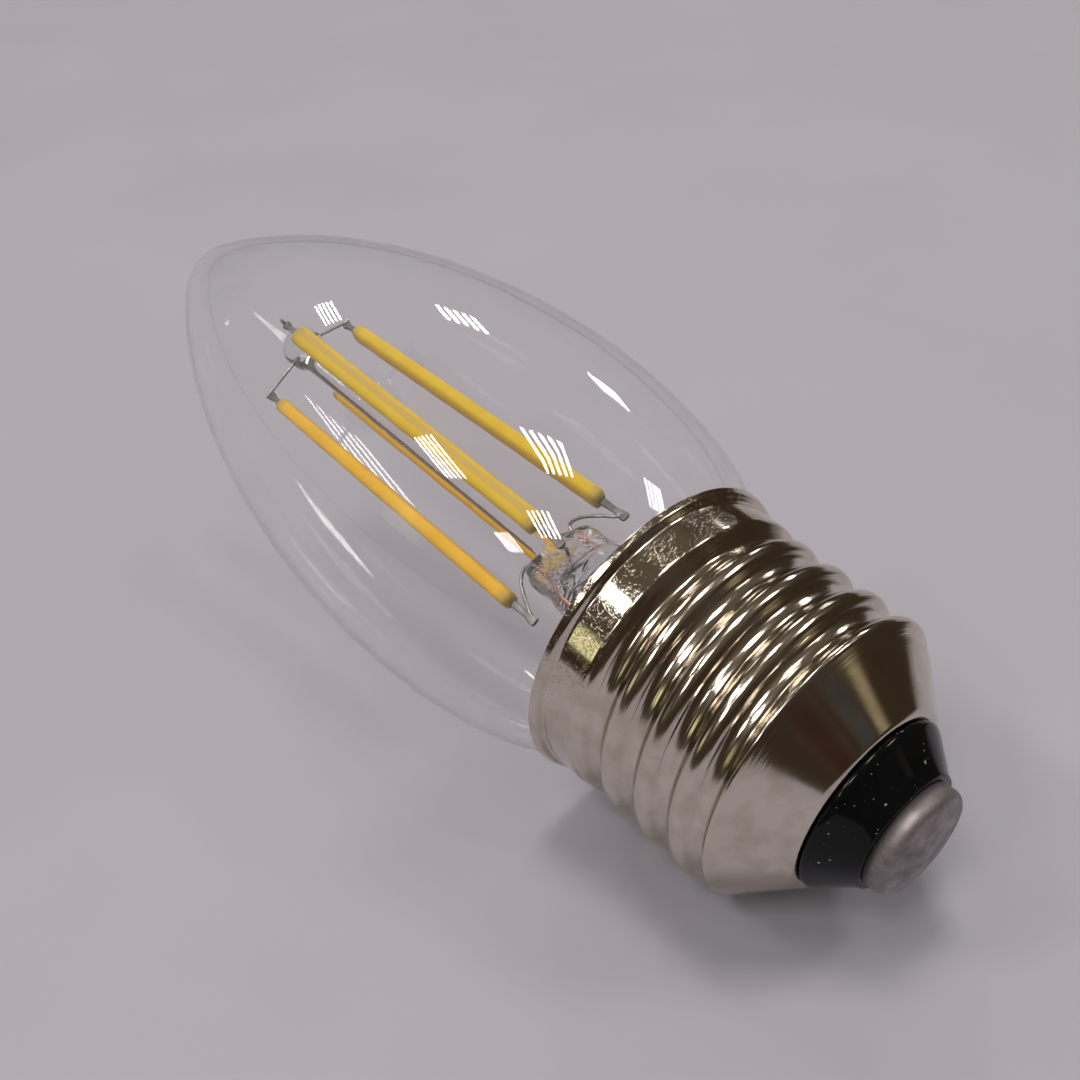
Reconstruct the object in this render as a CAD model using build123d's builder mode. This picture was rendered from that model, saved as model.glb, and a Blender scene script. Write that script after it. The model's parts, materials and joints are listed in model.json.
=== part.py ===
from build123d import *
import math
import os

# A clear candle-shaped filament bulb on a large Edison screw cap, in millimetres.
# The axis is Z. The lowest point of the centre contact is the origin and the glass tip points up.
# The side with the front filament faces -Y.

# Glass envelope
overall_length = 99.3
glass_diameter = 36.0
widest_height = 50.6
tip_radius = 6.2
belly_radius = 62.0
belly_end_height = 37.5
glass_rim_clearance = 0.45
cement_thickness = 0.7
neck_top_below_rim = 1.6
neck_depth = 3.1
glass_wall = 0.7

# Screw cap: rolled sheet with a round thread, a flared rim and a cone down to the insulator
rim_height = 28.8
rim_radius = 14.0
flare_width = 0.75
band_bottom = 24.9
thread_diameter = 26.2
thread_pitch = 3.629
crest_radius = 1.025
thread_depth = 1.02
crest_height_at_side = 11.47
ridge_base = 0.6
ridge_turns = 5
valley_end_angle = 8.0
cap_sheet = 0.25
lip_height = 6.0
lip_radius = 8.1
lip_hole_radius = 7.5
lip_rounding = 0.3

# Insulator and centre contact
contact_radius = 4.79
contact_height = 2.4
contact_dome_rise = 0.6
contact_edge_radius = 0.9
contact_pin_radius = 1.1
contact_pin_top = 10.3
insulator_collar = 0.55
insulator_shoulder = 0.25
insulator_edge = 0.5
insulator_bulge_height = 0.2
insulator_rounding = 0.5
insulator_top = 9.3

# Glass stem, exhaust tube and support rod
stem_tube_radius = 4.0
stem_wall = 0.8
stem_tube_length = 2.9
press_shoulder_height = 2.4
press_flat_height = 2.8
press_width = 7.6
press_thickness = 3.0
press_corner = 1.1
press_angle = 25.0
exhaust_radius = 1.6
exhaust_bore = 0.9
exhaust_bottom = 18.5
exhaust_port_radius = 0.7
exhaust_port_rise = 1.1
rod_radius = 1.45
bead_radius = 2.2

# Filaments: foot distance as a share of the ring, foot angle, top share and top angle of each
filament_ring_radius = 5.5
filament_places = {
    "right": (1.118, 8.0, 0.945, 22.0),
    "front": (0.845, -81.0, 0.836, -81.0),
    "back": (0.945, 105.5, 0.964, 105.5),
    "left": (1.091, 181.0, 1.091, 180.0),
}
filament_above_press = 0.2
filament_rise_height = 37.0
filament_width = 2.0
filament_depth = 1.5
filament_rounding = 0.6
filament_end_rounding = 0.5
lower_tab_length = 3.3
upper_tab_length = 2.2
tab_width = 1.1
tab_thickness = 0.35

# Wires
wire_radius = 0.28
wire_bend = 0.7
wire_tail = 0.6
wire_approach = 1.4
lead_spacing = 2.4
lead_arch = 0.8
link_apex_radius = 0.8
bridge_below_press_top = 1.9
bridge_reach = 2.1

# Driver in the cap
board_radius = 9.2
board_thickness = 1.0
board_bottom = 14.0
capacitor_radius = 2.5
capacitor_height = 7.0
capacitor_rounding = 0.4
capacitor_place = (-4.2, -4.4)
rectifier_size = (4.7, 3.9, 2.4)
rectifier_place = (4.4, 4.0)
chip_size = (4.9, 3.9, 1.5)
chip_place = (-4.2, 3.2)
leg_width = 0.5
leg_reach = 1.0
leg_thickness = 0.25
leg_pitch = 1.27
fuse_radius = 1.2
fuse_length = 6.3
fuse_place = (1.0, -4.6)
fuse_leg_reach = 1.0
fuse_standoff = 0.3
neutral_angle = -45.0
neutral_turns = 1.5
neutral_edge_distance = 1.0

# Clearances
fit_gap = 0.02

os.makedirs("parts", exist_ok=True)


def polar(radius, angle, height):
    turn = math.radians(angle)
    return Vector(radius * math.cos(turn), radius * math.sin(turn), height)


def save(part, name):
    part.label = name
    export_step(part, f"parts/{name}.step")


def bent_wire(points):
    with BuildPart() as wire:
        with BuildLine() as route:
            FilletPolyline(*points, radius=wire_bend)
        with BuildSketch(Plane(origin=route.line @ 0, z_dir=route.line % 0)):
            Circle(wire_radius)
        sweep(path=route.line)
    return wire.part


# The side arc touches the widest ring upright and runs tangent into the round tip
widest_radius = glass_diameter / 2
tip_centre = Vector(0, overall_length - tip_radius)
tip_rise = tip_centre.Y - widest_height
side_radius = (tip_rise**2 + widest_radius**2 - tip_radius**2) / (2 * (widest_radius - tip_radius))
side_centre = Vector(widest_radius - side_radius, widest_height)
belly_centre = Vector(widest_radius - belly_radius, widest_height)
belly_drop = widest_height - belly_end_height
belly_turn = math.asin(belly_drop / belly_radius)
neck_top = rim_height - neck_top_below_rim
neck_bottom = rim_height - neck_depth
half_right_angle = math.radians(45)
corner_shift = math.tan(half_right_angle / 2)
band_radius = rim_radius - flare_width
rim_bore = rim_radius - cap_sheet * (1 + corner_shift)
glass_at_rim = rim_bore - glass_rim_clearance
neck_radius = band_radius - cap_sheet - cement_thickness


def glass_side(inset):
    """One face of the glass from the tip to the end of the neck, set in from the outside by inset."""
    tip = Vector(0, overall_length - inset)
    shoulder = side_centre + (tip_centre - side_centre).normalized() * (side_radius - inset)
    half_turn = math.atan2(shoulder.X, shoulder.Y - tip_centre.Y) / 2
    tip_arc = tip_radius - inset
    tip_middle = tip_centre + Vector(math.sin(half_turn), math.cos(half_turn)) * tip_arc
    widest = Vector(widest_radius - inset, widest_height)
    side_turn = math.asin((shoulder.Y - widest_height) / (side_radius - inset)) / 2
    side_middle = side_centre + Vector(math.cos(side_turn), math.sin(side_turn)) * (side_radius - inset)
    belly_arc = belly_radius - inset
    belly_middle = belly_centre + Vector(math.cos(belly_turn / 2), -math.sin(belly_turn / 2)) * belly_arc
    belly_end = belly_centre + Vector(math.cos(belly_turn), -math.sin(belly_turn)) * belly_arc
    at_rim = Vector(glass_at_rim - inset, rim_height)
    neck = Vector(neck_radius - inset, neck_top)
    ThreePointArc(tip, tip_middle, shoulder)
    ThreePointArc(shoulder, side_middle, widest)
    ThreePointArc(widest, belly_middle, belly_end)
    TangentArc(belly_end, at_rim, tangent=(-math.sin(belly_turn), -math.cos(belly_turn)))
    Polyline(at_rim, neck, (neck.X, neck_bottom))


with BuildPart() as glass_envelope:
    with BuildSketch(Plane.XZ):
        with BuildLine():
            glass_side(0)
            glass_side(glass_wall)
            Line((0, overall_length - glass_wall), (0, overall_length))
            Line((neck_radius - glass_wall, neck_bottom), (neck_radius, neck_bottom))
        make_face()
    revolve(axis=Axis.Z)
save(glass_envelope.part, "glass_envelope")

# Screw shell: a filled outer body less a filled inner body, each with its own helical ridge
thread_radius = thread_diameter / 2
root_radius = thread_radius - thread_depth
crest_centre = thread_radius - crest_radius
valley_offset = thread_pitch / 2
valley_radius = math.hypot(valley_offset, crest_radius) - crest_radius
valley_centre = crest_centre + math.sqrt((crest_radius + valley_radius) ** 2 - valley_offset**2)
valley_end_turn = math.radians(valley_end_angle)
flank_turn = math.atan2(valley_offset, valley_centre - crest_centre)
ridge_start = crest_height_at_side - thread_pitch


def cap_side(inset, top):
    """Outline of the cap: from the axis at the lip up the cone, root, band and flared rim to the axis again."""
    floor = lip_height + inset
    rise = inset * corner_shift
    cone_foot = lip_radius - rise
    root = root_radius - inset
    band = band_radius - inset
    flare_start = rim_height - flare_width + rise
    flare_top = band + top - flare_start
    Polyline(
        (0, floor),
        (cone_foot, floor),
        (root, lip_height + root_radius - lip_radius + rise),
        (root, band_bottom - band_radius + root_radius + rise),
        (band, band_bottom + rise),
        (band, flare_start),
        (flare_top, top),
        (0, top),
        close=True,
    )


def threaded_body(inset, top):
    """The turned cap body with its round helical ridge, trimmed by the cone where the thread runs out."""
    crest = crest_radius - inset
    valley = valley_radius + inset
    flank = (crest_centre + crest * math.cos(flank_turn), crest * math.sin(flank_turn))
    side_turn = (flank_turn + valley_end_turn) / 2
    foot = (
        valley_centre - valley * math.cos(valley_end_turn),
        valley_offset - valley * math.sin(valley_end_turn),
    )
    middle = (
        valley_centre - valley * math.cos(side_turn),
        valley_offset - valley * math.sin(side_turn),
    )
    base = root_radius - inset - ridge_base
    with BuildPart() as ridge:
        with BuildLine() as turn:
            Helix(
                pitch=thread_pitch,
                height=thread_pitch * ridge_turns,
                radius=crest_centre,
                center=(0, 0, ridge_start),
            )
        with BuildSketch(Plane(origin=turn.line @ 0, x_dir=(1, 0, 0), z_dir=turn.line % 0)):
            with BuildLine(Location((-crest_centre, 0))):
                ThreePointArc((flank[0], -flank[1]), (crest_centre + crest, 0), flank)
                ThreePointArc(flank, middle, foot)
                Polyline(foot, (base, foot[1]), (base, -foot[1]), (foot[0], -foot[1]))
                ThreePointArc((foot[0], -foot[1]), (middle[0], -middle[1]), (flank[0], -flank[1]))
            make_face()
        sweep(path=turn.line, is_frenet=True)
    with BuildPart() as body:
        with BuildSketch(Plane.XZ):
            with BuildLine():
                cap_side(inset, top)
            make_face()
        revolve(axis=Axis.Z)
        add(ridge.part)
        reach = rim_radius + thread_depth
        with BuildSketch(Plane.XZ):
            with BuildLine():
                floor = lip_height + inset
                foot_radius = lip_radius - inset * corner_shift
                Polyline(
                    (0, floor),
                    (foot_radius, floor),
                    (reach, floor + reach - foot_radius),
                    (reach, top),
                    (0, top),
                    close=True,
                )
            make_face()
        revolve(axis=Axis.Z, mode=Mode.INTERSECT)
    return body.part


shell_outside = threaded_body(0, rim_height)
shell_inside = threaded_body(cap_sheet, rim_height + cap_sheet)

with BuildPart() as screw_shell:
    add(shell_outside)
    lip = screw_shell.edges().filter_by(GeomType.CIRCLE).group_by(Axis.Z)[0]
    fillet(lip, lip_rounding)
    add(shell_inside, mode=Mode.SUBTRACT)
    with BuildSketch(Plane.XY.offset(lip_height)):
        Circle(lip_hole_radius)
    extrude(amount=2 * cap_sheet, both=True, mode=Mode.SUBTRACT)
save(screw_shell.part, "screw_shell")

# Insulator: black glass that fills the foot of the cap, with a shoulder under the metal lip
cap_bore_foot = lip_radius - cap_sheet * corner_shift
insulator_floor = lip_height + cap_sheet + fit_gap
insulator_foot_radius = cap_bore_foot - fit_gap
insulator_top_radius = insulator_foot_radius + insulator_top - insulator_floor
shoulder_radius = lip_hole_radius + insulator_shoulder
collar_radius = contact_radius + insulator_collar
edge_height = lip_height - insulator_edge
slope = Vector(shoulder_radius - collar_radius, edge_height - contact_height)
slope_middle = Vector(collar_radius, contact_height) + slope / 2
outward = Vector(slope.Y, -slope.X).normalized()

with BuildPart() as insulator:
    with BuildSketch(Plane.XZ):
        with BuildLine():
            bulge = slope_middle + outward * insulator_bulge_height
            ThreePointArc((collar_radius, contact_height), bulge, (shoulder_radius, edge_height))
            Polyline(
                (shoulder_radius, edge_height),
                (shoulder_radius, lip_height - fit_gap),
                (lip_hole_radius - fit_gap, lip_height - fit_gap),
                (lip_hole_radius - fit_gap, insulator_floor),
                (insulator_foot_radius, insulator_floor),
                (insulator_top_radius, insulator_top),
                (contact_pin_radius + fit_gap, insulator_top),
                (contact_pin_radius + fit_gap, contact_height),
                (collar_radius, contact_height),
            )
        make_face()
    revolve(axis=Axis.Z)
    for place, rounding in ((0, insulator_rounding), (-1, insulator_shoulder - fit_gap)):
        shoulder_edges = insulator.edges().filter_by(GeomType.CIRCLE).filter_by(
            lambda edge: abs(edge.radius - shoulder_radius) < fit_gap and edge.center().Z < lip_height
        )
        fillet(shoulder_edges.sort_by(Axis.Z)[place], rounding)
save(insulator.part, "insulator")

with BuildPart() as centre_contact:
    with BuildSketch(Plane.XZ):
        with BuildLine():
            flat_radius = contact_radius - contact_edge_radius
            edge_start = contact_dome_rise + contact_edge_radius
            edge_middle = (
                flat_radius + contact_edge_radius * math.sin(half_right_angle),
                edge_start - contact_edge_radius * math.cos(half_right_angle),
            )
            dome_radius = (flat_radius**2 + contact_dome_rise**2) / (2 * contact_dome_rise)
            dome_turn = math.asin(flat_radius / dome_radius) / 2
            dome_middle = (dome_radius * math.sin(dome_turn), dome_radius * (1 - math.cos(dome_turn)))
            ThreePointArc((0, 0), dome_middle, (flat_radius, contact_dome_rise))
            ThreePointArc((flat_radius, contact_dome_rise), edge_middle, (contact_radius, edge_start))
            Polyline(
                (contact_radius, edge_start),
                (contact_radius, contact_height),
                (contact_pin_radius, contact_height),
                (contact_pin_radius, contact_pin_top),
                (0, contact_pin_top),
                (0, 0),
            )
        make_face()
    revolve(axis=Axis.Z)
save(centre_contact.part, "centre_contact")

with BuildPart() as neck_cement:
    with BuildSketch(Plane.XY.offset(neck_bottom)):
        Circle(band_radius - cap_sheet - fit_gap)
        Circle(neck_radius + fit_gap, mode=Mode.SUBTRACT)
    extrude(amount=neck_top - neck_bottom)
save(neck_cement.part, "neck_cement")

# Heights of the stem's press, which the filaments stand over
stem_flare_radius = neck_radius - glass_wall - stem_tube_radius
press_bottom = neck_bottom + stem_flare_radius + stem_tube_length
press_middle = press_bottom + press_shoulder_height
press_top = press_middle + press_flat_height

# Filaments with a metal tab at each end
tab_ends = {}
filament_bottom = press_top + filament_above_press
filament_top = filament_bottom + filament_rise_height
for side, (low_share, low_angle, high_share, high_angle) in filament_places.items():
    low = polar(filament_ring_radius * low_share, low_angle, filament_bottom)
    high = polar(filament_ring_radius * high_share, high_angle, filament_top)
    along = (high - low).normalized()
    facing = polar(1, (low_angle + high_angle) / 2, 0)
    across = facing.rotate(Axis.Z, 90)
    low_plane = Plane(origin=low, x_dir=across, z_dir=along)
    high_plane = Plane(origin=high, x_dir=across, z_dir=along)

    with BuildPart() as filament:
        with BuildSketch(low_plane):
            RectangleRounded(filament_width, filament_depth, filament_rounding)
        extrude(amount=(high - low).length)
        ends = filament.faces().sort_by(Axis.Z)
        fillet(ends[0].edges() + ends[-1].edges(), filament_end_rounding)
    save(filament.part, f"filament_{side}")

    with BuildPart() as lower_tab:
        with BuildSketch(low_plane):
            Rectangle(tab_width, tab_thickness)
        extrude(amount=-lower_tab_length)
    save(lower_tab.part, f"lower_tab_{side}")

    with BuildPart() as upper_tab:
        with BuildSketch(high_plane):
            Rectangle(tab_width, tab_thickness)
        extrude(amount=upper_tab_length)
    save(upper_tab.part, f"upper_tab_{side}")

    tab_weld = low - along * (lower_tab_length - wire_radius - wire_tail)
    tab_ends[side] = (tab_weld, high + along * upper_tab_length, facing)


def tab_approach(side):
    """The last run of a lower wire, square to the inner face of a tab just above the tab's end."""
    tab_weld, _, facing = tab_ends[side]
    touch = tab_weld - facing * (tab_thickness / 2 + fit_gap)
    return [touch - facing * wire_approach, touch]


def over_tab(side):
    """Centre of a wire that lies across the end of an upper tab, with its tail past the tab."""
    _, high_end, facing = tab_ends[side]
    return high_end + facing * wire_tail + Vector(0, 0, link_lift)


link_lift = wire_radius + tab_thickness / 2
bead_height = filament_top + upper_tab_length + link_lift
links = {"right_front": ("right", "front"), "back_left": ("back", "left")}
link_parts = []
for name, (one, other) in links.items():
    start = over_tab(one)
    finish = over_tab(other)
    heading = Vector(start.X, start.Y).normalized() + Vector(finish.X, finish.Y).normalized()
    apex = heading.normalized() * link_apex_radius + Vector(0, 0, bead_height)
    link_parts.append(bent_wire([start, apex, finish]))
    save(link_parts[-1], f"top_link_{name}")

# Lead-in wires and the bridge, sealed through the press
press_along = polar(1, press_angle, 0)
press_through = polar(1, press_angle - 90, 0)
board_top = board_bottom + board_thickness
lead_top = press_top + lead_arch + wire_bend
lead_right = bent_wire(
    [
        press_along * lead_spacing + Vector(0, 0, board_top),
        press_along * lead_spacing + Vector(0, 0, lead_top),
        *tab_approach("right"),
    ]
)
save(lead_right, "lead_wire_right")
lead_left = bent_wire(
    [
        press_along * -lead_spacing + Vector(0, 0, board_top),
        press_along * -lead_spacing + Vector(0, 0, lead_top),
        *tab_approach("left"),
    ]
)
save(lead_left, "lead_wire_left")
bridge_height = Vector(0, 0, press_top - bridge_below_press_top)
bridge = bent_wire(
    [
        *reversed(tab_approach("front")),
        press_through * bridge_reach + bridge_height,
        press_through * -bridge_reach + bridge_height,
        *tab_approach("back"),
    ]
)
save(bridge, "bottom_bridge")

# Stem: the flare is fused under the end of the neck, and the press closes its top round the wires
flare_centre = Vector(neck_radius - glass_wall, neck_bottom + stem_flare_radius)
under_radius = stem_flare_radius + stem_wall
flare_heading = Vector(math.sin(half_right_angle), math.cos(half_right_angle))
upper_middle = flare_centre - flare_heading * stem_flare_radius
under_middle = flare_centre - flare_heading * under_radius
press_plane = Plane(origin=(0, 0, press_middle), x_dir=press_along, z_dir=(0, 0, 1))
tube_bore = stem_tube_radius - stem_wall

with BuildPart() as glass_stem:
    with BuildSketch(Plane.XZ):
        with BuildLine():
            Polyline(
                (0, press_bottom - stem_wall),
                (tube_bore, press_bottom - stem_wall),
                (tube_bore, flare_centre.Y),
            )
            ThreePointArc(
                (tube_bore, flare_centre.Y), under_middle, (flare_centre.X, neck_bottom - stem_wall)
            )
            Polyline(
                (flare_centre.X, neck_bottom - stem_wall),
                (neck_radius, neck_bottom - stem_wall),
                (neck_radius, neck_bottom),
                (flare_centre.X, neck_bottom),
            )
            ThreePointArc((flare_centre.X, neck_bottom), upper_middle, (stem_tube_radius, flare_centre.Y))
            Polyline(
                (stem_tube_radius, flare_centre.Y),
                (stem_tube_radius, press_bottom),
                (0, press_bottom),
                (0, press_bottom - stem_wall),
            )
        make_face()
    revolve(axis=Axis.Z)
    with BuildSketch(Plane.XY.offset(press_bottom)):
        Circle(stem_tube_radius)
    with BuildSketch(press_plane):
        RectangleRounded(press_width, press_thickness, press_corner)
    loft()
    with BuildSketch(press_plane):
        RectangleRounded(press_width, press_thickness, press_corner)
    extrude(amount=press_flat_height)
    with BuildSketch(Plane.XY.offset(press_bottom - stem_wall)):
        Circle(exhaust_bore)
    extrude(amount=stem_wall + exhaust_port_rise, mode=Mode.SUBTRACT)
    port_plane = Plane(origin=(0, 0, press_bottom + exhaust_port_radius), z_dir=-press_through)
    with BuildSketch(port_plane):
        Circle(exhaust_port_radius)
    extrude(amount=stem_tube_radius, mode=Mode.SUBTRACT)
    add([lead_right, lead_left, bridge], mode=Mode.SUBTRACT)
save(glass_stem.part, "glass_stem")

with BuildPart() as exhaust_tube:
    tube_top = press_bottom - stem_wall
    with BuildSketch(Plane.XZ):
        with BuildLine():
            Polyline(
                (0, exhaust_bottom),
                (0, exhaust_bottom + exhaust_radius - exhaust_bore),
            )
            RadiusArc(
                (0, exhaust_bottom + exhaust_radius - exhaust_bore),
                (exhaust_bore, exhaust_bottom + exhaust_radius),
                -exhaust_bore,
            )
            Polyline(
                (exhaust_bore, exhaust_bottom + exhaust_radius),
                (exhaust_bore, tube_top),
                (exhaust_radius, tube_top),
                (exhaust_radius, exhaust_bottom + exhaust_radius),
            )
            RadiusArc(
                (exhaust_radius, exhaust_bottom + exhaust_radius), (0, exhaust_bottom), exhaust_radius
            )
        make_face()
    revolve(axis=Axis.Z)
save(exhaust_tube.part, "exhaust_tube")

with BuildPart() as support_rod:
    with BuildSketch(Plane.XY.offset(press_top)):
        Circle(rod_radius)
    extrude(amount=bead_height - press_top)
    with Locations((0, 0, bead_height)):
        Sphere(bead_radius)
    add(link_parts, mode=Mode.SUBTRACT)
save(support_rod.part, "support_rod")

# Driver: a round board carried by its wires, with its parts on both faces
with BuildPart() as driver_board:
    with BuildSketch(Plane.XY.offset(board_bottom)):
        Circle(board_radius)
    extrude(amount=board_thickness)
save(driver_board.part, "driver_board")


def legged_body(size, place, foot, direction):
    """A moulded part with two legs on each long side, standing on foot and reaching up or down."""
    length, width, height = size
    centre = (place[0], place[1], foot + direction * height / 2)
    leg_spread = width / 2 + leg_reach / 2
    with BuildPart() as body:
        with Locations(centre):
            Box(length, width, height)
        top_edges = body.faces().sort_by(Axis.Z)[-1 if direction > 0 else 0].edges()
        chamfer(top_edges, leg_thickness)
        with Locations((place[0], place[1], foot + direction * leg_thickness / 2)):
            with GridLocations(2 * leg_pitch, 2 * leg_spread, 2, 2):
                Box(leg_width, leg_reach, leg_thickness)
    return body.part


save(legged_body(rectifier_size, rectifier_place, board_top, 1), "bridge_rectifier")
save(legged_body(chip_size, chip_place, board_bottom, -1), "driver_chip")

with BuildPart() as smoothing_capacitor:
    with BuildSketch(Plane.XY.offset(board_top)):
        with Locations(capacitor_place):
            Circle(capacitor_radius)
    extrude(amount=capacitor_height)
    fillet(smoothing_capacitor.faces().sort_by(Axis.Z)[-1].edges(), capacitor_rounding)
save(smoothing_capacitor.part, "smoothing_capacitor")

with BuildPart() as fuse_resistor:
    fuse_height = board_bottom - fuse_standoff - fuse_radius
    fuse_end = fuse_length / 2
    leg_end = fuse_end + fuse_leg_reach
    with Locations(Location((fuse_place[0], fuse_place[1], fuse_height), (0, 90, 0))):
        Cylinder(fuse_radius, fuse_length)
    fillet(fuse_resistor.edges().filter_by(GeomType.CIRCLE), fuse_radius / 2)
    with Locations(Location((fuse_place[0], fuse_place[1], fuse_height), (0, 90, 0))):
        Cylinder(wire_radius, 2 * leg_end)
    with Locations((fuse_place[0], fuse_place[1], (fuse_height + board_bottom) / 2)):
        with GridLocations(2 * leg_end, 1, 2, 1):
            Cylinder(wire_radius, board_bottom - fuse_height)
save(fuse_resistor.part, "fuse_resistor")

with BuildPart() as live_wire:
    with BuildSketch(Plane.XY.offset(contact_pin_top)):
        Circle(wire_radius)
    extrude(amount=board_bottom - contact_pin_top)
save(live_wire.part, "live_wire")

# The neutral wire ends on a valley of the rolled thread, where the sheet comes closest to the axis
neutral_height = crest_height_at_side + thread_pitch * (neutral_angle / 360 + neutral_turns)
neutral_wire = bent_wire(
    [
        polar(board_radius - neutral_edge_distance, neutral_angle, board_top),
        polar(board_radius - neutral_edge_distance, neutral_angle, neutral_height),
        polar(root_radius - cap_sheet - fit_gap, neutral_angle, neutral_height),
    ]
)
save(neutral_wire, "neutral_wire")
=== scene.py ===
import bmesh
import bpy
import json
import math
from mathutils import Matrix, Vector, noise


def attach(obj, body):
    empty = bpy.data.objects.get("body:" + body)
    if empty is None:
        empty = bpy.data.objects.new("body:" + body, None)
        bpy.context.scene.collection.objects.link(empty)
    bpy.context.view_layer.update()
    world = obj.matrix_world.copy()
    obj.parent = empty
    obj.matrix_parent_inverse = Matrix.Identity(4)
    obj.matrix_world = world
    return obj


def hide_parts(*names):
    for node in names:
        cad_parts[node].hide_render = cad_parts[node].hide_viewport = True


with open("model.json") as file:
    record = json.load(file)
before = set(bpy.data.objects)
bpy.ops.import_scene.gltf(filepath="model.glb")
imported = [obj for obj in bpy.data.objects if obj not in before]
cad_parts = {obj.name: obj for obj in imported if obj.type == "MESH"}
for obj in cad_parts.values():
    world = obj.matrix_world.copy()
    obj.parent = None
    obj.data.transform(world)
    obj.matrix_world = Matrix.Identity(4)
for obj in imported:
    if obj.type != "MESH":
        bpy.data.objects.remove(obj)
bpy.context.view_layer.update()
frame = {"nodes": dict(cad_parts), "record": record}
nodes = frame["nodes"]
scene = bpy.context.scene
scene.view_settings.view_transform = "Standard"
mm = 0.001
print("frame loaded:", len(nodes), "nodes")


# small mesh tools
def addPiece(name, points, faces, material, stands):  # points in millimetres, stands in for nodes
    mesh = bpy.data.meshes.new(name)
    mesh.from_pydata([Vector(p) * mm for p in points], [], faces)
    skin = bmesh.new()
    skin.from_mesh(mesh)
    bmesh.ops.recalc_face_normals(skin, faces=skin.faces)
    skin.to_mesh(mesh)
    skin.free()
    mesh.polygons.foreach_set("use_smooth", [True] * len(mesh.polygons))
    piece = bpy.data.objects.new(name, mesh)
    scene.collection.objects.link(piece)
    mesh.materials.append(material)
    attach(piece, "root")
    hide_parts(*stands)
    return piece


def arcPoints(centre, radius, startTurn, endTurn, count):  # angles from the +r axis, in degrees
    turns = [math.radians(startTurn + (endTurn - startTurn) * i / count) for i in range(count + 1)]
    return [(centre[0] + radius * math.cos(t), centre[1] + radius * math.sin(t)) for t in turns]


def easeStep(low, high, x):
    t = min(max((x - low) / (high - low), 0), 1)
    return t * t * (3 - 2 * t)


def softMax(a, b, blend):
    share = min(max(0.5 + 0.5 * (b - a) / blend, 0), 1)
    return a + (b - a) * share + blend * share * (1 - share)


def softMin(a, b, blend):
    return -softMax(-a, -b, blend)


def unevenness(point, size, seed):  # smooth noise between about -1 and 1, with bumps of the given size
    return noise.noise(Vector(point) / size + Vector((seed * 7.3, seed * 3.1, seed * 5.7)))


def lineAt(line, x):  # value at x of a line through (x, value) corners
    for (x0, y0), (x1, y1) in zip(line[:-1], line[1:]):
        if x <= x1:
            return y0 + (y1 - y0) * max(x - x0, 0) / (x1 - x0)
    return line[-1][1]


def loftFaces(rings, closed=False):  # rings of equal length; a ring of one point closes an end
    points = [p for ring in rings for p in ring]
    starts = [sum(len(r) for r in rings[:i]) for i in range(len(rings))]
    count = max(len(r) for r in rings)
    faces = []
    order = list(range(len(rings))) + ([0] if closed else [])
    for a, b in zip(order[:-1], order[1:]):
        one, other = starts[a], starts[b]
        for i in range(count):
            j = (i + 1) % count
            if len(rings[a]) == 1:
                faces.append((one, other + j, other + i))
            elif len(rings[b]) == 1:
                faces.append((one + i, one + j, other))
            else:
                faces.append((one + i, one + j, other + j, other + i))
    return points, faces


def spin(outline, turns, shape=None):  # rings round the axis from (r, z) pairs
    rings = []
    for r, z in outline:
        if r < 1e-6:
            rings.append([(0, 0, z)])
            continue
        ring = []
        for i in range(turns):
            turn = 2 * math.pi * i / turns
            rr, zz = shape(r, z, turn) if shape else (r, z)
            ring.append((rr * math.cos(turn), rr * math.sin(turn), zz))
        rings.append(ring)
    return rings


def roundedRing(halfX, halfY, square, count):  # from an ellipse at square 2 to nearly a rectangle
    ring = []
    for i in range(count):
        turn = 2 * math.pi * i / count
        c, s = math.cos(turn), math.sin(turn)
        x = math.copysign(abs(c) ** (2 / square), c) * halfX
        y = math.copysign(abs(s) ** (2 / square), s) * halfY
        ring.append((x, y))
    return ring


# material tools
def newMaterial(name):
    material = bpy.data.materials.new(name)
    material.use_nodes = True
    tree = material.node_tree
    tree.nodes.clear()
    output = tree.nodes.new("ShaderNodeOutputMaterial")
    shader = tree.nodes.new("ShaderNodeBsdfPrincipled")
    tree.links.new(shader.outputs[0], output.inputs[0])
    return material, tree, shader


def placeNode(tree, stretch=(1, 1, 1)):  # object coordinates in millimetres, stretched as asked
    coordinates = tree.nodes.new("ShaderNodeTexCoord")
    mapping = tree.nodes.new("ShaderNodeMapping")
    mapping.inputs["Scale"].default_value = [1000 * s for s in stretch]
    tree.links.new(coordinates.outputs["Object"], mapping.inputs[0])
    return mapping.outputs[0]


def noiseNode(tree, place, scale, detail=3.0, roughness=0.55, distortion=0.0):
    texture = tree.nodes.new("ShaderNodeTexNoise")
    texture.inputs["Scale"].default_value = scale
    texture.inputs["Detail"].default_value = detail
    texture.inputs["Roughness"].default_value = roughness
    texture.inputs["Distortion"].default_value = distortion
    tree.links.new(place, texture.inputs["Vector"])
    return texture.outputs["Fac"]


def rampNode(tree, value, stops):  # stops of (position, colour)
    ramp = tree.nodes.new("ShaderNodeValToRGB")
    elements = ramp.color_ramp.elements
    while len(elements) < len(stops):
        elements.new(0.5)
    for element, (position, colour) in zip(elements, stops):
        element.position = position
        element.color = (*colour, 1)
    tree.links.new(value, ramp.inputs[0])
    return ramp.outputs[0]


def rangeNode(tree, value, low, high, fromLow=0.0, fromHigh=1.0):
    mapRange = tree.nodes.new("ShaderNodeMapRange")
    mapRange.inputs["From Min"].default_value = fromLow
    mapRange.inputs["From Max"].default_value = fromHigh
    mapRange.inputs["To Min"].default_value = low
    mapRange.inputs["To Max"].default_value = high
    tree.links.new(value, mapRange.inputs[0])
    return mapRange.outputs[0]


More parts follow.
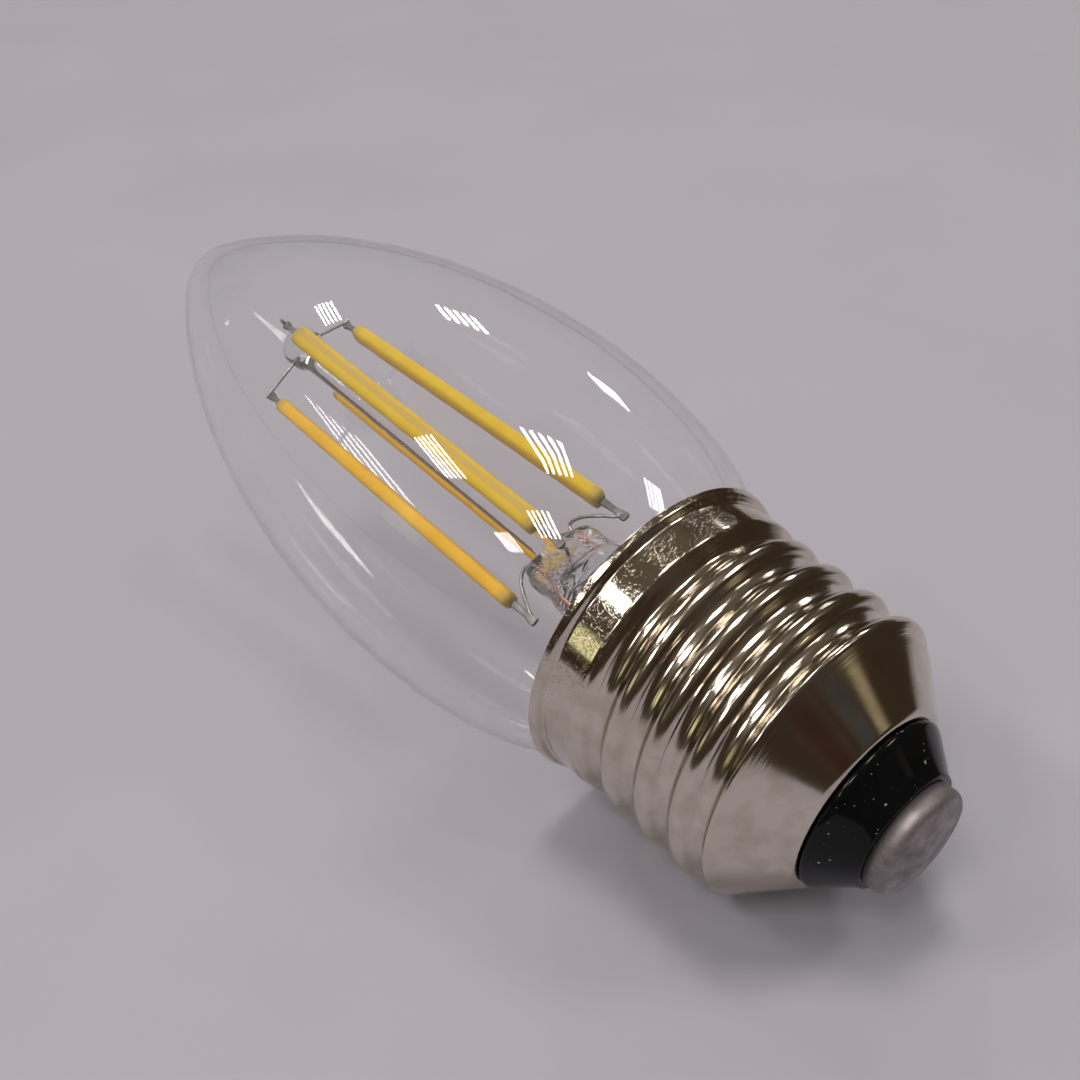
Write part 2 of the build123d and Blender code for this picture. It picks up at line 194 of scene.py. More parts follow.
def mathNode(tree, operation, *values):
    node = tree.nodes.new("ShaderNodeMath")
    node.operation = operation
    for socket, value in zip(node.inputs, values):
        if isinstance(value, (int, float)):
            socket.default_value = value
        else:
            tree.links.new(value, socket)
    return node.outputs[0]


def splitPlace(tree):  # place in millimetres as three sockets
    split = tree.nodes.new("ShaderNodeSeparateXYZ")
    tree.links.new(placeNode(tree), split.inputs[0])
    return split.outputs


def mixNode(tree, share, first, second):  # two colours, each a socket or a plain colour
    mix = tree.nodes.new("ShaderNodeMix")
    mix.data_type = "RGBA"
    tree.links.new(share, mix.inputs["Factor"])
    for socket, colour in (("A", first), ("B", second)):
        if isinstance(colour, tuple):
            mix.inputs[socket].default_value = (*colour, 1)
        else:
            tree.links.new(colour, mix.inputs[socket])
    return mix.outputs["Result"]


def blendNode(tree, share, first, second):  # two shaders
    mix = tree.nodes.new("ShaderNodeMixShader")
    for socket, link in zip(mix.inputs, (share, first, second)):
        tree.links.new(link, socket)
    return mix.outputs[0]


def bumpNode(tree, height, strength, distance, normal=None):
    bump = tree.nodes.new("ShaderNodeBump")
    if isinstance(strength, float):
        bump.inputs["Strength"].default_value = strength
    else:
        tree.links.new(strength, bump.inputs["Strength"])
    bump.inputs["Distance"].default_value = distance * mm
    tree.links.new(height, bump.inputs["Height"])
    if normal:
        tree.links.new(normal, bump.inputs["Normal"])
    return bump.outputs[0]


def passShadow(tree, shader, tint):  # lets lamp light and scattered light straight through clear glass
    output = next(n for n in tree.nodes if n.type == "OUTPUT_MATERIAL")
    lightPath = tree.nodes.new("ShaderNodeLightPath")
    clear = tree.nodes.new("ShaderNodeBsdfTransparent")
    clear.inputs[0].default_value = (*tint, 1)
    shadow, scattered = lightPath.outputs["Is Shadow Ray"], lightPath.outputs["Is Diffuse Ray"]
    straight = mathNode(tree, "MAXIMUM", shadow, scattered)
    tree.links.new(blendNode(tree, straight, shader.outputs[0], clear.outputs[0]), output.inputs[0])


# finishes, with scales in bumps per millimetre and depths in millimetres
bulbGlass = {"tint": (0.985, 0.98, 0.985), "ior": 1.48, "smudge": 0.02, "shadowTint": (0.965, 0.965, 0.97)}


def makeBulbGlass():
    material, tree, shader = newMaterial("bulbGlass")
    place = placeNode(tree)
    smudge = noiseNode(tree, place, 0.35, 5.0, 0.65)
    shader.inputs["Base Color"].default_value = (*bulbGlass["tint"], 1)
    shader.inputs["IOR"].default_value = bulbGlass["ior"]
    shader.inputs["Transmission Weight"].default_value = 1.0
    tree.links.new(rangeNode(tree, smudge, 0.0, bulbGlass["smudge"], 0.6, 0.85), shader.inputs["Roughness"])
    passShadow(tree, shader, bulbGlass["shadowTint"])
    return material


stemGlass = {
    "tint": (0.93, 0.93, 0.925), "ior": 1.52, "shadowTint": (0.88, 0.88, 0.88),
    "streak": 0.25, "streakDepth": 0.06, "fold": 0.85, "foldDepth": 0.4,
    "press": (36.2, 38.0, 41.5, 42.4),  # heights where the folds start, are full, fade and end
}


def makeStemGlass():  # drawn streaks all along, curled folds in the press
    material, tree, shader = newMaterial("stemGlass")
    streaks = noiseNode(tree, placeNode(tree, (1.6, 1.6, 0.35)), 0.8, 3.0, 0.5, 0.6)
    shader.inputs["Base Color"].default_value = (*stemGlass["tint"], 1)
    shader.inputs["IOR"].default_value = stemGlass["ior"]
    shader.inputs["Transmission Weight"].default_value = 1.0
    tree.links.new(rangeNode(tree, streaks, 0.0, 0.04, 0.5, 0.8), shader.inputs["Roughness"])
    height = splitPlace(tree)[2]
    low, full, end, high = stemGlass["press"]
    rising = rangeNode(tree, height, 0.0, 1.0, low, full)
    fading = rangeNode(tree, height, 1.0, 0.0, end, high)
    inPress = mathNode(tree, "MINIMUM", rising, fading)
    curls = noiseNode(tree, placeNode(tree), 0.9, 2.0, 0.5, 1.2)
    folded = mathNode(tree, "MULTIPLY", inPress, stemGlass["fold"])
    normal = bumpNode(tree, streaks, stemGlass["streak"], stemGlass["streakDepth"])
    tree.links.new(bumpNode(tree, curls, folded, stemGlass["foldDepth"], normal), shader.inputs["Normal"])
    passShadow(tree, shader, stemGlass["shadowTint"])
    return material


phosphor = {
    "strip": (0.66, 0.43, 0.09), "end": (0.46, 0.34, 0.07), "stripStart": -0.05, "stripEnd": 0.6,
    "yellow": ((0.82, 0.54, 0.02), (0.75, 0.49, 0.016)), "orange": ((0.94, 0.53, 0.028), (0.88, 0.48, 0.02)),
}


def makePhosphor(name, pale, deep):  # the strip and end values are laid on the filament meshes
    material, tree, shader = newMaterial(name)
    place = placeNode(tree)
    cloud = noiseNode(tree, place, 0.5, 3.0)
    grain = noiseNode(tree, place, 6.0, 2.0)
    colour = rampNode(tree, cloud, [(0.35, deep), (0.7, pale)])
    for mask in ("strip", "end"):
        attribute = tree.nodes.new("ShaderNodeAttribute")
        attribute.attribute_name = mask
        colour = mixNode(tree, attribute.outputs["Fac"], colour, phosphor[mask])
    tree.links.new(colour, shader.inputs["Base Color"])
    tree.links.new(rangeNode(tree, grain, 0.42, 0.6), shader.inputs["Roughness"])
    shader.inputs["Specular IOR Level"].default_value = 0.2
    tree.links.new(bumpNode(tree, grain, 0.12, 0.04), shader.inputs["Normal"])
    return material


def makeMetal(name, light, dark, rough, grainStretch, grainScale, grainStrength, pits=0.0):
    material, tree, shader = newMaterial(name)
    place = placeNode(tree)
    stain = noiseNode(tree, place, 0.6, 4.0, 0.6)
    grain = noiseNode(tree, placeNode(tree, grainStretch), grainScale, 2.0)
    tree.links.new(rampNode(tree, stain, [(0.3, dark), (0.65, light)]), shader.inputs["Base Color"])
    tree.links.new(rangeNode(tree, stain, rough[1], rough[0], 0.3, 0.7), shader.inputs["Roughness"])
    shader.inputs["Metallic"].default_value = 1.0
    normal = bumpNode(tree, grain, grainStrength, 0.03)
    if pits:
        pitted = rangeNode(tree, noiseNode(tree, place, 5.0, 4.0, 0.7), 0.0, 1.0, 0.25, 0.5)
        normal = bumpNode(tree, pitted, pits, 0.03, normal)
    tree.links.new(normal, shader.inputs["Normal"])
    return material


leadWire = {
    "copper": (0.48, 0.23, 0.17), "grey": (0.27, 0.255, 0.245), "rough": (0.2, 0.36),
    "coatReach": (2.45, 2.65),  # the coat ends this far from the axis
}


def makeLeadMetal():  # bare grey wire above the press, copper coat inside it
    material, tree, shader = newMaterial("leadMetal")
    grain = noiseNode(tree, placeNode(tree, (1, 1, 0.3)), 5.0, 2.0)
    x, y = splitPlace(tree)[:2]
    reach = mathNode(tree, "SQRT", mathNode(tree, "MULTIPLY_ADD", x, x, mathNode(tree, "MULTIPLY", y, y)))
    bare = rangeNode(tree, reach, 0.0, 1.0, *leadWire["coatReach"])
    tree.links.new(mixNode(tree, bare, leadWire["copper"], leadWire["grey"]), shader.inputs["Base Color"])
    tree.links.new(rangeNode(tree, grain, *leadWire["rough"]), shader.inputs["Roughness"])
    shader.inputs["Metallic"].default_value = 1.0
    tree.links.new(bumpNode(tree, grain, 0.15, 0.03), shader.inputs["Normal"])
    return material


nickel = {
    "light": (0.66, 0.60, 0.52), "dull": (0.55, 0.485, 0.40),
    "rough": (0.06, 0.12), "threadRough": 0.03, "coneRough": 0.025,  # the thread and the cone add to rough
    "thread": (9.0, 10.5), "band": (24.2, 24.9),  # heights between which each comes in
    "pitch": 3.629, "drawOut": 0.8, "drawn": 0.6, "lineScale": 5.5, "lineDrift": 0.05, "lineDepth": 0.04,
    "pitting": 0.5, "pitScale": 5.5, "pitEdge": (0.36, 0.45), "pitDepth": 0.02,
    "patchScale": 0.35, "patchEdge": (0.42, 0.62), "still": 0.015,  # still is what is left elsewhere
}


def makeCapNickel():  # drawn lines on the thread, pitting on the band, a smooth cone
    material, tree, shader = newMaterial("capNickel")
    place = placeNode(tree)
    x, y, height = splitPlace(tree)
    onBand = rangeNode(tree, height, 0.0, 1.0, *nickel["band"])
    onCone = rangeNode(tree, height, 1.0, 0.0, *nickel["thread"])
    onThread = mathNode(tree, "SUBTRACT", rangeNode(tree, height, 0.0, 1.0, *nickel["thread"]), onBand)
    stain = noiseNode(tree, place, 0.5, 4.0, 0.6)
    pits = rangeNode(tree, noiseNode(tree, place, nickel["pitScale"], 2.0, 0.6), 0.0, 1.0, *nickel["pitEdge"])
    turn = mathNode(tree, "ARCTAN2", y, x)
    climb = mathNode(tree, "MULTIPLY_ADD", turn, -nickel["pitch"] / (2 * math.pi), height)
    rolled = tree.nodes.new("ShaderNodeCombineXYZ")  # keeps the drawn lines along the thread
    scales = (nickel["lineDrift"], nickel["lineDrift"], nickel["lineScale"])
    for socket, value, scale in zip(rolled.inputs, (x, y, climb), scales):
        tree.links.new(mathNode(tree, "MULTIPLY", value, scale), socket)
    lines = noiseNode(tree, rolled.outputs[0], 1.0, 2.0, 0.5)
    colour = rampNode(tree, stain, [(0.3, nickel["dull"]), (0.6, nickel["light"])])
    tree.links.new(colour, shader.inputs["Base Color"])
    rough = rangeNode(tree, stain, nickel["rough"][1], nickel["rough"][0], 0.3, 0.7)
    rough = mathNode(tree, "MULTIPLY_ADD", onThread, nickel["threadRough"], rough)
    rough = mathNode(tree, "MULTIPLY_ADD", onCone, nickel["coneRough"], rough)
    tree.links.new(rough, shader.inputs["Roughness"])
    shader.inputs["Metallic"].default_value = 1.0
    around = tree.nodes.new("ShaderNodeTangent")  # mirrored lamps smear along the rolled thread
    around.direction_type = "RADIAL"
    around.axis = "Z"
    tree.links.new(around.outputs[0], shader.inputs["Tangent"])
    tree.links.new(mathNode(tree, "MULTIPLY", onThread, nickel["drawOut"]), shader.inputs["Anisotropic"])
    drawn = mathNode(tree, "MULTIPLY_ADD", onThread, nickel["drawn"], nickel["still"])
    cloud = noiseNode(tree, place, nickel["patchScale"], 3.0, 0.6)
    patches = mathNode(tree, "MULTIPLY", onBand, rangeNode(tree, cloud, 0.1, 1.0, *nickel["patchEdge"]))
    pitted = mathNode(tree, "MULTIPLY_ADD", patches, nickel["pitting"], nickel["still"])
    normal = bumpNode(tree, lines, drawn, nickel["lineDepth"])
    tree.links.new(bumpNode(tree, pits, pitted, nickel["pitDepth"], normal), shader.inputs["Normal"])
    return material


def makeMatt(name, pale, deep, rough, scale, bumpHeight, dust=None):  # dust lies in fine and coarse specks
    material, tree, shader = newMaterial(name)
    place = placeNode(tree)
    grain = noiseNode(tree, place, scale, 4.0, 0.6)
    colour = rampNode(tree, grain, [(0.3, deep), (0.7, pale)])
    roughness = rangeNode(tree, grain, rough[0], rough[1])
    if dust:
        fine = rangeNode(tree, noiseNode(tree, place, dust["fine"], 1.0), 0.0, 1.0, *dust["fineEdge"])
        coarse = rangeNode(tree, noiseNode(tree, place, dust["coarse"], 2.0), 0.0, 1.0, *dust["coarseEdge"])
        specks = mathNode(tree, "MAXIMUM", fine, coarse)
        colour = mixNode(tree, specks, colour, dust["colour"])
    tree.links.new(colour, shader.inputs["Base Color"])
    tree.links.new(roughness, shader.inputs["Roughness"])
    shader.inputs["Specular IOR Level"].default_value = 0.2 if dust else 0.5
    tree.links.new(bumpNode(tree, grain, 0.5, bumpHeight), shader.inputs["Normal"])
    return material


glassFinish = makeBulbGlass()
stemFinish = makeStemGlass()
phosphorYellow = makePhosphor("phosphorYellow", *phosphor["yellow"])
phosphorOrange = makePhosphor("phosphorOrange", *phosphor["orange"])
capNickel = makeCapNickel()
leadMetal = makeLeadMetal()
metals = {  # light and dull colours, roughness, stretch of the grain, its scale and strength, and pits
    "contactMetal": ((0.42, 0.375, 0.385), (0.25, 0.22, 0.23), (0.52, 0.68), (1, 1, 1), 2.0, 0.1, 0.2),
    "tabMetal": ((0.14, 0.13, 0.12), (0.05, 0.046, 0.042), (0.3, 0.5), (1, 1, 1), 4.0, 0.2),
    "wireMetal": ((0.36, 0.34, 0.33), (0.14, 0.13, 0.125), (0.2, 0.34), (1, 1, 0.3), 5.0, 0.15),
}
contactMetal, tabMetal, wireMetal = [makeMetal(name, *values) for name, values in metals.items()]
dust = {
    "fine": 3.2, "fineEdge": (0.76, 0.80), "coarse": 1.5, "coarseEdge": (0.73, 0.76),
    "colour": (0.4, 0.4, 0.39),
}
matts = {  # pale and deep colours, roughness, scale and depth of the grain, and dust
    "blackGlass": ((0.005, 0.0055, 0.006), (0.003, 0.0035, 0.004), (0.06, 0.14), 0.5, 0.02, dust),
    "cementFinish": ((0.6, 0.56, 0.5), (0.46, 0.42, 0.37), (0.8, 0.95), 3.0, 0.15),
    "boardFinish": ((0.05, 0.2, 0.09), (0.03, 0.14, 0.06), (0.4, 0.55), 2.0, 0.03),
    "mouldFinish": ((0.04, 0.04, 0.042), (0.025, 0.025, 0.027), (0.5, 0.7), 6.0, 0.03),
    "sleeveFinish": ((0.05, 0.06, 0.16), (0.03, 0.04, 0.11), (0.25, 0.4), 1.0, 0.02),
    "resistorFinish": ((0.22, 0.36, 0.5), (0.15, 0.28, 0.42), (0.3, 0.45), 2.0, 0.03),
}
matt = {name: makeMatt(name, *values) for name, values in matts.items()}
print("finishes ready")

# carried-over nodes: smooth shading by edge angle and a finish each
finishBySlot = {
    "clear_glass": glassFinish, "stem_glass": stemFinish, "phosphor": phosphorYellow, "tab_metal": tabMetal,
    "wire_metal": wireMetal, "lead_metal": leadMetal, "cap_nickel": capNickel, "contact_metal": contactMetal,
    "black_glass": matt["blackGlass"], "cement": matt["cementFinish"], "board_laminate": matt["boardFinish"],
    "moulded_black": matt["mouldFinish"], "capacitor_sleeve": matt["sleeveFinish"],
    "resistor_body": matt["resistorFinish"],
}


def makeSmoother(limit):  # edges sharper than the limit, in degrees, stay sharp
    group = bpy.data.node_groups.new("smoothByEdge", "GeometryNodeTree")
    group.interface.new_socket("Geometry", in_out="INPUT", socket_type="NodeSocketGeometry")
    group.interface.new_socket("Geometry", in_out="OUTPUT", socket_type="NodeSocketGeometry")
    start = group.nodes.new("NodeGroupInput")
    end = group.nodes.new("NodeGroupOutput")
    angle = group.nodes.new("GeometryNodeInputMeshEdgeAngle")
    compare = group.nodes.new("FunctionNodeCompare")
    compare.data_type = "FLOAT"
    compare.operation = "GREATER_THAN"
    compare.inputs[1].default_value = math.radians(limit)
    merge = group.nodes.new("GeometryNodeMergeByDistance")
    merge.inputs["Distance"].default_value = 1e-7
    faces = group.nodes.new("GeometryNodeSetShadeSmooth")
    edges = group.nodes.new("GeometryNodeSetShadeSmooth")
    edges.domain = "EDGE"
    edges.inputs["Shade Smooth"].default_value = False
    group.links.new(start.outputs[0], merge.inputs[0])
    group.links.new(merge.outputs[0], faces.inputs[0])
    group.links.new(faces.outputs[0], edges.inputs[0])
    group.links.new(angle.outputs["Unsigned Angle"], compare.inputs[0])
    group.links.new(compare.outputs[0], edges.inputs["Selection"])
    group.links.new(edges.outputs[0], end.inputs[0])
    return group


smoother = makeSmoother(32)
for part in frame["record"]["subparts"]:
    node = nodes[part["node"]]
    node.data.materials.clear()
    node.data.materials.append(finishBySlot[part["material_slot"]])
    node.modifiers.new("smoothByEdge", "NODES").node_group = smoother
print("nodes dressed")

# blown candle glass: round tip, long side, belly and neck, with a thin wall
candleGlass = {
    "length": 99.3, "widest": 18.0, "widestHeight": 50.6, "tip": 6.2, "belly": 62.0, "bellyEnd": 37.5,
    "rim": (13.196, 28.8), "neck": (12.3, 27.2), "neckFoot": 25.72, "wall": 0.3, "turns": 256,
}


def glassOutline():
    g = candleGlass
    widest, level = g["widest"], g["widestHeight"]
    tipCentre = g["length"] - g["tip"]
    rise = tipCentre - level
    side = (rise**2 + widest**2 - g["tip"] ** 2) / (2 * (widest - g["tip"]))
    lean = math.degrees(math.atan2(rise, side - widest))
    outline = arcPoints((0, tipCentre), g["tip"], 90, lean, 32)
    outline += arcPoints((widest - side, level), side, lean, 0, 96)[1:]
    bellyTurn = math.degrees(math.asin((level - g["bellyEnd"]) / g["belly"]))
    outline += arcPoints((widest - g["belly"], level), g["belly"], 0, -bellyTurn, 28)[1:]
    start = Vector(outline[-1])
    outward = Vector((math.cos(math.radians(bellyTurn)), -math.sin(math.radians(bellyTurn))))
    chord = Vector(g["rim"]) - start
    radius = chord.length_squared / (-2 * chord.dot(outward))
    centre = start - outward * radius
    last = math.degrees(math.atan2(g["rim"][1] - centre.y, g["rim"][0] - centre.x))
    outline += arcPoints(centre, radius, -bellyTurn, last, 28)[1:]
    return outline + [g["neck"], (g["neck"][0], g["neckFoot"])]


def blowGlass():
    outer = glassOutline()
    inner = []
    for i, point in enumerate(outer):
        before, after = Vector(outer[max(i - 1, 0)]), Vector(outer[min(i + 1, len(outer) - 1)])
        run = (after - before).normalized()
        inset = Vector(point) - Vector((-run.y, run.x)) * candleGlass["wall"]
        inner.append((0, candleGlass["length"] - candleGlass["wall"]) if i == 0 else (inset.x, inset.y))
    inner[-1] = (inner[-1][0], candleGlass["neckFoot"])
    outer[0] = (0, candleGlass["length"])
    points, faces = loftFaces(spin(outer + inner[::-1], candleGlass["turns"]))
    addPiece("candleGlass", points, faces, glassFinish, ["glass_envelope"])


blowGlass()

# rolled screw cap: cone, round thread, plain band and flared rim, the same sheet inside and out
rolledCap = {
    "line": [  # height, radius
        (6.0, 8.1), (9.98, 12.08), (23.73, 12.08), (24.9, 13.25), (27.85, 13.25), (28.2, 13.82), (28.8, 14.0),
    ],
    "pitch": nickel["pitch"], "crestAtSide": 11.47, "crestCentre": 12.075, "crest": 1.025,
    "valleyCentre": 13.1, "valley": 1.059, "coneGap": 2.1, "coneBulge": 0.05, "sheet": 0.25, "blend": 0.12,
    "ripple": 0.006, "rippleSize": 2.6, "turns": 288, "rows": 176, "innerRows": 90,
    "lip": [(7.5, 6.25), (7.5, 6.09), (7.54, 6.02), (7.62, 6.0), (7.98, 6.0), (8.1, 6.03), (8.2, 6.1)],
    "lipInside": (7.96, 6.25),
    "rim": [(14.0, -0.03), (13.95, 0), (13.74, 0), (13.66, -0.03)],  # radius, height from the top
    "outerEnd": 0.08, "innerStart": 0.12, "innerEnd": 0.5,  # gaps from the rows to the rim and the lip
}


def capRadius(z, turn):  # outside of the sheet: round thread over the turned line, eased into both
    c = rolledCap
    share = (z - c["crestAtSide"]) / c["pitch"] - turn / (2 * math.pi)
    away = abs(share - round(share)) * c["pitch"]
    half = c["pitch"] / 2
    if away < half * c["crest"] / (c["crest"] + c["valley"]):
        ridge = c["crestCentre"] + math.sqrt(c["crest"] ** 2 - away**2)
    else:
        ridge = c["valleyCentre"] - math.sqrt(c["valley"] ** 2 - (half - away) ** 2)
    flat = lineAt(c["line"], z)
    low, high = c["line"][0][0], c["line"][1][0]
    if low < z < high:
        flat += c["coneBulge"] * math.sin(math.pi * (z - low) / (high - low))
    body = softMax(flat, ridge, c["blend"])
    return softMin(body, z + c["coneGap"] + c["coneBulge"], c["blend"])


def rollCap():
    c = rolledCap
    rings = spin(c["lip"], c["turns"])
    bottom, top = c["lip"][-1][1], c["line"][-1][0]
    step = 0.02

    def sheetRing(z, inset):
        ring = []
        for i in range(c["turns"]):
            turn = 2 * math.pi * i / c["turns"]
            r = capRadius(z, turn)
            slope = (capRadius(z + step, turn) - capRadius(z - step, turn)) / (2 * step)
            r += c["ripple"] * unevenness((r * math.cos(turn), r * math.sin(turn), z), c["rippleSize"], 1)
            r -= inset * math.sqrt(1 + slope * slope)
            ring.append((r * math.cos(turn), r * math.sin(turn), z))
        return ring

    for row in range(1, c["rows"] + 1):
        rings.append(sheetRing(bottom + (top - c["outerEnd"] - bottom) * row / c["rows"], 0))
    rings += spin([(r, top + drop) for r, drop in c["rim"]], c["turns"])
    first, last = top - c["innerStart"], bottom + c["innerEnd"]
    for row in range(c["innerRows"] + 1):
        rings.append(sheetRing(first - (first - last) * row / c["innerRows"], c["sheet"]))
    rings += spin([c["lipInside"]], c["turns"])
    points, faces = loftFaces(rings, closed=True)
    addPiece("rolledCap", points, faces, capNickel, ["screw_shell"])


rollCap()
print("glass and cap made")

# poured black glass between the cap and the contact
pouredGlass = {
    "outline": [
        (1.13, 2.42), (5.1, 2.42), (5.26, 2.46), (5.33, 2.58), (5.42, 2.76), (6.05, 3.5), (6.65, 4.2),
        (7.2, 4.83), (7.5, 5.18), (7.66, 5.38), (7.74, 5.55), (7.75, 5.7), (7.71, 5.84), (7.62, 5.94),
        (7.48, 5.98), (7.48, 6.27), (7.96, 6.27), (10.95, 9.27), (1.13, 9.27),
    ],
    "sag": 0.0245, "sagSize": 2.2, "sagHeights": (2.45, 5.8), "turns": 144,
}


def pourGlass():
    def sag(r, z, turn):
        low, high = pouredGlass["sagHeights"]
        if not low < z < high:
            return r, z
        place = (r * math.cos(turn), r * math.sin(turn), z)
        lean = pouredGlass["sag"] * unevenness(place, pouredGlass["sagSize"], 2)
        return r + lean, z - lean

    points, faces = loftFaces(spin(pouredGlass["outline"], pouredGlass["turns"], sag), closed=True)
    addPiece("pouredGlass", points, faces, matt["blackGlass"], ["insulator"])


pourGlass()

# stamped centre contact: shallow dome, rounded edge and a pin
stampedContact = {
    "radius": 4.79, "height": 2.4, "dome": 0.6, "domeRows": 16, "edge": 0.9, "pin": 1.1, "pinTop": 10.3,
    "dent": 0.02, "dentSize": 1.6, "dentLeast": -0.2, "turns": 120,
}


def stampContact():
    s = stampedContact
    flat = s["radius"] - s["edge"]
    shares = [i / s["domeRows"] for i in range(s["domeRows"] + 1)]
    outline = [(flat * share, s["dome"] * share**2) for share in shares]
    outline += arcPoints((flat, s["dome"] + s["edge"]), s["edge"], -90, 0, 10)[2:]
    outline += [(s["radius"], s["height"]), (s["pin"], s["height"])]
    outline += [(s["pin"], s["pinTop"]), (0, s["pinTop"])]

    def dent(r, z, turn):
        wave = unevenness((r * math.cos(turn), r * math.sin(turn), 0), s["dentSize"], 3)
        return r, z + s["dent"] * max(wave, s["dentLeast"]) if z < s["dome"] else z

    points, faces = loftFaces(spin(outline, s["turns"], dent))
    addPiece("stampedContact", points, faces, contactMetal, ["centre_contact"])


stampContact()
print("insulator and contact made")

# fused glass inside: flare under the neck, tube, pressed seal, rod and melted bead in one skin
stemRod = {
    "turn": 25.0, "count": 80, "sway": 0.28, "beadSway": 0.168, "swaySize": 1.5, "rodWave": 0.012,
    "pressMelt": (36.5, 38.5, 41.6, 43.0), "rodStart": (42.0, 44.0), "beadMelt": (78.5, 80.5),  # heights
    "inside": [(0, 35.36), (1.6, 35.36), (2.8, 35.3), (3.2, 34.9), (3.2, 33.3)],
    "flare": (11.6, 33.3), "flareIn": 8.4, "flareOut": 7.6, "flange": [(12.3, 24.9), (12.3, 25.68)],
    "press": [  # height, half along, half through, squareness
        (34.6, 4.0, 4.0, 2), (36.0, 4.0, 4.0, 2), (36.5, 4.0, 3.75, 2.1), (37.1, 3.96, 3.0, 2.4),
        (37.7, 3.9, 2.2, 2.9), (38.2, 3.84, 1.75, 3.4), (38.7, 3.8, 1.55, 4), (39.3, 3.82, 1.48, 4),
        (39.9, 3.78, 1.52, 4), (40.5, 3.82, 1.5, 4), (40.9, 3.78, 1.5, 4), (41.15, 3.7, 1.46, 3.8),
        (41.32, 3.5, 1.4, 3.6), (41.42, 3.1, 1.38, 3.2), (41.5, 2.5, 1.42, 2.7), (41.62, 1.95, 1.48, 2.3),
        (41.9, 1.62, 1.5, 2.1), (42.5, 1.48, 1.46, 2),
    ],
    "rod": 1.45, "rodTop": 78.4, "rodRows": 60,
    "bead": [(78.9, 1.5), (79.4, 1.68), (79.9, 1.92), (80.4, 2.1), (80.9, 2.18), (81.4, 2.18), (81.9, 2.08),
             (82.4, 1.88), (82.8, 1.6), (83.15, 1.2), (83.35, 0.7), (83.42, 0.3)],
    "beadTip": 0.02,
}


def fuseStem():
    s = stemRod
    bend = math.radians(s["turn"])
    centre = s["flare"]
    rows = [(z, r, r, 2) for r, z in s["inside"]]
    rows += [(z, r, r, 2) for r, z in arcPoints(centre, s["flareIn"], 180, 270, 16)[1:]]
    rows += [(z, r, r, 2) for r, z in s["flange"]]
    rows += [(z, r, r, 2) for r, z in arcPoints(centre, s["flareOut"], 270, 180, 16)]
    rows += s["press"]
    first = s["press"][-1][0]
    for i in range(1, s["rodRows"] + 1):
        rows.append((first + (s["rodTop"] - first) * i / s["rodRows"], s["rod"], s["rod"], 2))
    rows += [(z, r, r, 2) for z, r in s["bead"]]
    softens, soft, hardens, hard = s["pressMelt"]
    rings = []
    for z, halfAlong, halfThrough, square in rows:
        if halfAlong == 0:
            rings.append([(0, 0, z)])
            continue
        melted = s["sway"] * easeStep(softens, soft, z) * (1 - easeStep(hardens, hard, z))
        melted += s["beadSway"] * easeStep(*s["beadMelt"], z)
        wavy = s["rodWave"] * easeStep(*s["rodStart"], z)
        ring = []
        for u, v in roundedRing(halfAlong, halfThrough, square, s["count"]):
            x, y = u * math.cos(bend) - v * math.sin(bend), u * math.sin(bend) + v * math.cos(bend)
            grow = 1 + melted * unevenness((x, y, z), s["swaySize"], 4) / max(math.hypot(x, y), 1)
            grow += wavy * unevenness((x, y, z * 0.3), s["swaySize"], 5)  # drawn out along the rod
            ring.append((x * grow, y * grow, z))
        rings.append(ring)
    rings.append([(0, 0, s["bead"][-1][0] + s["beadTip"])])
    points, faces = loftFaces(rings)
    addPiece("stemRod", points, faces, stemFinish, ["glass_stem", "support_rod"])


fuseStem()

# filaments: silicone on both sides of a strip whose edges face outwards, with a stamped tab at each end
filaments = {
    "foot": 41.6, "top": 78.6, "width": 2.0, "depth": 1.5, "square": 3.0, "rounding": 0.5, "endSize": 0.62,
    "swell": 0.07, "swellSize": 2.4, "lump": 0.02, "lumpSize": 0.6, "groove": 0.03,
    "stripSoft": 0.08, "stripSides": (0.36, 0.44), "endDull": 0.75, "endReach": (0.3, 1.6),
    "rows": 96, "crowd": 0.35, "count": 64, "orange": ("left", "back"),
    "places": {  # foot and top beside the axis, and the way each faces
        "right": ((6.089, 0.856), (4.819, 1.947), 15.0), "front": ((0.727, -4.59), (0.719, -4.541), -81.0),
        "back": ((-1.05, 5.05), (-1.08, 5.15), 105.5), "left": ((-6.0, -0.105), (-6.0, 0.0), 180.5),
    },
}
tabs = {
    "lower": 3.3, "upper": 2.2, "inset": 0.35, "thick": 0.35, "square": 7.0, "rows": 28, "count": 24,
    "widths": [(0.0, 0.74), (0.3, 0.7), (0.5, 0.56), (0.68, 0.6), (0.82, 0.86), (1.0, 0.96)],
    "roundFrom": 0.94, "roundLeast": 0.35, "dents": (0.42, 0.8), "dentSize": 0.3, "dentDepth": 0.11,
    "turned": ("right", "left"),  # by a quarter turn
}


def layValues(piece, name, values):  # one value a point, for the finish to read
    piece.data.attributes.new(name, "FLOAT", "POINT").data.foreach_set("value", values)


